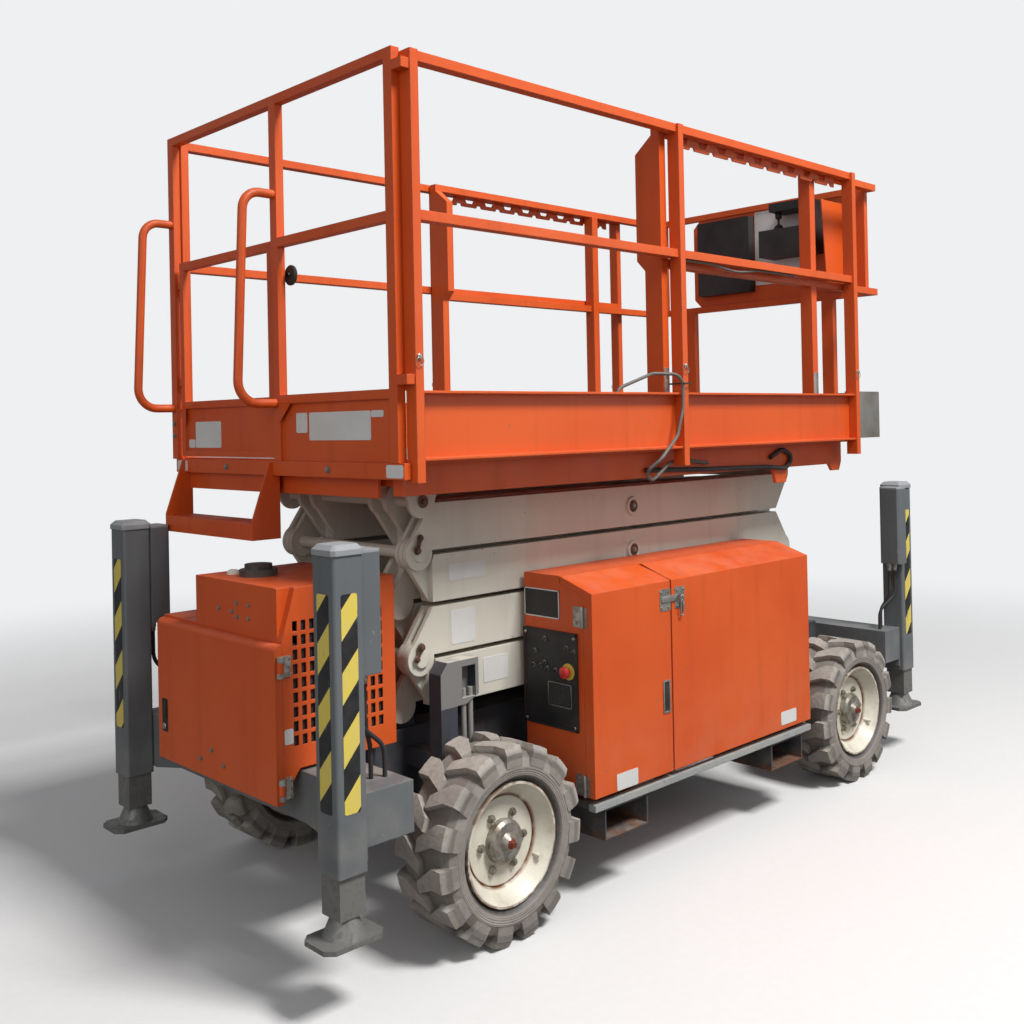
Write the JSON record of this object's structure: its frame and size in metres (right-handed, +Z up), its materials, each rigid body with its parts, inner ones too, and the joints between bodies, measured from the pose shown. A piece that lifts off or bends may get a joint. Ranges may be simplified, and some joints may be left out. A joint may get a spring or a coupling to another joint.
{
  "type": "scissor lift",
  "caption": "Rough-terrain scissor lift with paired beam arms, guarded platform with gate and sliding deck extension, side cabinets, outriggers and steered lugged tyres.",
  "frame": {"origin": "on the ground, under the middle of the machine's length and width", "axes": "+X forward, from the entry gate towards the sliding deck extension; +Y to the machine's left; +Z up"},
  "size_m": [3.5254, 1.4092, 2.694],
  "materials": {
    "arm_paint": "semi-gloss cream paint",
    "body_paint": "semi-gloss orange paint",
    "chassis_paint": "satin dark grey paint",
    "deck_plate": "worn tread plate",
    "panel_black": "matte black",
    "engine_iron": "rough casting",
    "bare_steel": "oiled steel",
    "chrome_rod": "polished",
    "rim_paint": "semi-gloss cream paint",
    "sill_paint": "satin light grey paint",
    "cable_sheath": "matte grey sheath",
    "hose_rubber": "matte black rubber",
    "tyre": "worn rubber"
  },
  "bodies": {
    "chassis": {"chassis_frame": "chassis_paint", "cabinet_sills": "sill_paint", "outrigger_beams": "chassis_paint", "outrigger_legs": "chassis_paint", "outrigger_hoses": "hose_rubber", "fork_pockets": "chassis_paint", "axle_front": "chassis_paint", "axle_rear": "chassis_paint", "cabinet_right": "body_paint", "cabinet_left": "body_paint", "control_panel": "panel_black", "engine_cabinet": "body_paint", "engine_block": "engine_iron", "hose_tower": "body_paint"},
    "platform": {"platform_deck": "body_paint", "platform_hangers": "arm_paint", "platform_cable": "cable_sheath", "platform_hose": "hose_rubber", "guardrail_right": "body_paint", "guardrail_left": "body_paint", "guardrail_rear": "body_paint", "ladder_step": "body_paint"},
    "extension": {"extension_deck": "deck_plate", "extension_rails_right": "body_paint", "extension_rails_left": "body_paint", "extension_front": "body_paint", "platform_controls": "panel_black"},
    "entry_gate": {"entry_gate": "body_paint"},
    "lift_barrel": {"lift_cylinder_barrel": "bare_steel"},
    "lift_rod": {"lift_cylinder_rod": "chrome_rod"},
    "engine_door": {"engine_door": "body_paint"},
    "inner_arms_1": {"inner_arms_1": "arm_paint"},
    "outer_arms_1": {"outer_arms_1": "arm_paint"},
    "inner_arms_2": {"inner_arms_2": "arm_paint"},
    "outer_arms_2": {"outer_arms_2": "arm_paint"},
    "inner_arms_3": {"inner_arms_3": "arm_paint"},
    "outer_arms_3": {"outer_arms_3": "arm_paint"},
    "inner_arms_4": {"inner_arms_4": "arm_paint"},
    "outer_arms_4": {"outer_arms_4": "arm_paint"},
    "knuckle_right": {"knuckle_right": "chassis_paint"},
    "foot_rear_right": {"foot_rear_right": "bare_steel"},
    "wheel_rear_right": {"rim_rear_right": "rim_paint", "tyre_rear_right": "tyre"},
    "door_right_rear": {"door_right_rear": "body_paint"},
    "foot_front_right": {"foot_front_right": "bare_steel"},
    "wheel_front_right": {"rim_front_right": "rim_paint", "tyre_front_right": "tyre"},
    "door_right_front": {"door_right_front": "body_paint"},
    "knuckle_left": {"knuckle_left": "chassis_paint"},
    "foot_rear_left": {"foot_rear_left": "bare_steel"},
    "wheel_rear_left": {"rim_rear_left": "rim_paint", "tyre_rear_left": "tyre"},
    "door_left_rear": {"door_left_rear": "body_paint"},
    "foot_front_left": {"foot_front_left": "bare_steel"},
    "wheel_front_left": {"rim_front_left": "rim_paint", "tyre_front_left": "tyre"},
    "door_left_front": {"door_left_front": "body_paint"}
  },
  "joints": [
    {"name": "lift", "type": "hinge", "parent": "chassis", "child": "inner_arms_4", "pos_m": [-1.162, 0, 0.672], "axis": [0, -1, 0], "range_deg": [0, 53]},
    {"name": "inner_3", "type": "hinge", "parent": "inner_arms_4", "child": "inner_arms_3", "pos_m": [1.008, 0, 0.843], "axis": [0, -1, 0], "range_deg": [-106, 0]},
    {"name": "inner_2", "type": "hinge", "parent": "inner_arms_3", "child": "inner_arms_2", "pos_m": [-1.162, 0, 1.014], "axis": [0, -1, 0], "range_deg": [0, 106]},
    {"name": "inner_1", "type": "hinge", "parent": "inner_arms_2", "child": "inner_arms_1", "pos_m": [1.008, 0, 1.185], "axis": [0, -1, 0], "range_deg": [-106, 0]},
    {"name": "platform_level", "type": "hinge", "parent": "inner_arms_1", "child": "platform", "pos_m": [-1.162, 0, 1.356], "axis": [0, -1, 0], "range_deg": [0, 53]},
    {"name": "outer_4", "type": "hinge", "parent": "inner_arms_4", "child": "outer_arms_4", "pos_m": [-0.077, 0, 0.7575], "axis": [0, -1, 0], "range_deg": [-106, 0]},
    {"name": "outer_3", "type": "hinge", "parent": "outer_arms_4", "child": "outer_arms_3", "pos_m": [-1.162, 0, 0.843], "axis": [0, -1, 0], "range_deg": [0, 106]},
    {"name": "outer_2", "type": "hinge", "parent": "outer_arms_3", "child": "outer_arms_2", "pos_m": [1.008, 0, 1.014], "axis": [0, -1, 0], "range_deg": [-106, 0]},
    {"name": "outer_1", "type": "hinge", "parent": "outer_arms_2", "child": "outer_arms_1", "pos_m": [-1.162, 0, 1.185], "axis": [0, -1, 0], "range_deg": [0, 106]},
    {"name": "lift_barrel", "type": "hinge", "parent": "inner_arms_4", "child": "lift_barrel", "pos_m": [0.82185, 0, 0.82833], "axis": [0, -1, 0], "range_deg": [-115.4, 0]},
    {"name": "lift_rod", "type": "slide", "parent": "lift_barrel", "child": "lift_rod", "axis": [-0.9902, 0, 0.1397], "range_m": [0, 0.93065]},
    {"name": "deck_extension", "type": "slide", "parent": "platform", "child": "extension", "axis": [1, 0, 0], "range_m": [0, 1.1]},
    {"name": "entry_gate", "type": "hinge", "parent": "platform", "child": "entry_gate", "pos_m": [-1.4473, 0.6386, 1.9], "axis": [0, 0, 1], "range_deg": [0, 90]},
    {"name": "outrigger_rear_right", "type": "slide", "parent": "chassis", "child": "foot_rear_right", "axis": [0, 0, -1], "range_m": [0, 0.38]},
    {"name": "outrigger_rear_left", "type": "slide", "parent": "chassis", "child": "foot_rear_left", "axis": [0, 0, -1], "range_m": [0, 0.38]},
    {"name": "outrigger_front_right", "type": "slide", "parent": "chassis", "child": "foot_front_right", "axis": [0, 0, -1], "range_m": [0, 0.38]},
    {"name": "outrigger_front_left", "type": "slide", "parent": "chassis", "child": "foot_front_left", "axis": [0, 0, -1], "range_m": [0, 0.38]},
    {"name": "steer_right", "type": "hinge", "parent": "chassis", "child": "knuckle_right", "pos_m": [1.0737, -0.503, 0.304], "axis": [0, 0, 1], "range_deg": [-35, 35]},
    {"name": "steer_left", "type": "hinge", "parent": "chassis", "child": "knuckle_left", "pos_m": [1.0737, 0.503, 0.304], "axis": [0, 0, 1], "range_deg": [-35, 35]},
    {"name": "wheel_rear_right", "type": "hinge", "parent": "chassis", "child": "wheel_rear_right", "pos_m": [-1.0737, -0.579, 0.304], "axis": [0, 1, 0], "continuous": true},
    {"name": "wheel_rear_left", "type": "hinge", "parent": "chassis", "child": "wheel_rear_left", "pos_m": [-1.0737, 0.579, 0.304], "axis": [0, 1, 0], "continuous": true},
    {"name": "wheel_front_right", "type": "hinge", "parent": "knuckle_right", "child": "wheel_front_right", "pos_m": [1.0737, -0.579, 0.304], "axis": [0, 1, 0], "continuous": true},
    {"name": "wheel_front_left", "type": "hinge", "parent": "knuckle_left", "child": "wheel_front_left", "pos_m": [1.0737, 0.579, 0.304], "axis": [0, 1, 0], "continuous": true},
    {"name": "door_right_rear", "type": "hinge", "parent": "chassis", "child": "door_right_rear", "pos_m": [-0.706, -0.65, 0.69], "axis": [0, 0, 1], "range_deg": [-100, 0]},
    {"name": "door_right_front", "type": "hinge", "parent": "chassis", "child": "door_right_front", "pos_m": [0.661, -0.65, 0.69], "axis": [0, 0, 1], "range_deg": [0, 100]},
    {"name": "door_left_rear", "type": "hinge", "parent": "chassis", "child": "door_left_rear", "pos_m": [-0.706, 0.65, 0.69], "axis": [0, 0, 1], "range_deg": [0, 100]},
    {"name": "door_left_front", "type": "hinge", "parent": "chassis", "child": "door_left_front", "pos_m": [0.661, 0.65, 0.69], "axis": [0, 0, 1], "range_deg": [-100, 0]},
    {"name": "engine_door", "type": "hinge", "parent": "chassis", "child": "engine_door", "pos_m": [-1.7033, -0.372, 0.74], "axis": [0, 0, 1], "range_deg": [0, 100]}
  ],
  "couplings": [
    {"joint": "inner_3", "follows": "lift", "ratio": -2},
    {"joint": "inner_2", "follows": "lift", "ratio": 2},
    {"joint": "inner_1", "follows": "lift", "ratio": -2},
    {"joint": "platform_level", "follows": "lift", "ratio": 1},
    {"joint": "outer_4", "follows": "lift", "ratio": -2},
    {"joint": "outer_3", "follows": "lift", "ratio": 2},
    {"joint": "outer_2", "follows": "lift", "ratio": -2},
    {"joint": "outer_1", "follows": "lift", "ratio": 2},
    {"joint": "lift_barrel", "follows": "lift", "ratio": -2.1771},
    {"joint": "lift_rod", "follows": "lift", "m_per_rad": 1.0055}
  ]
}
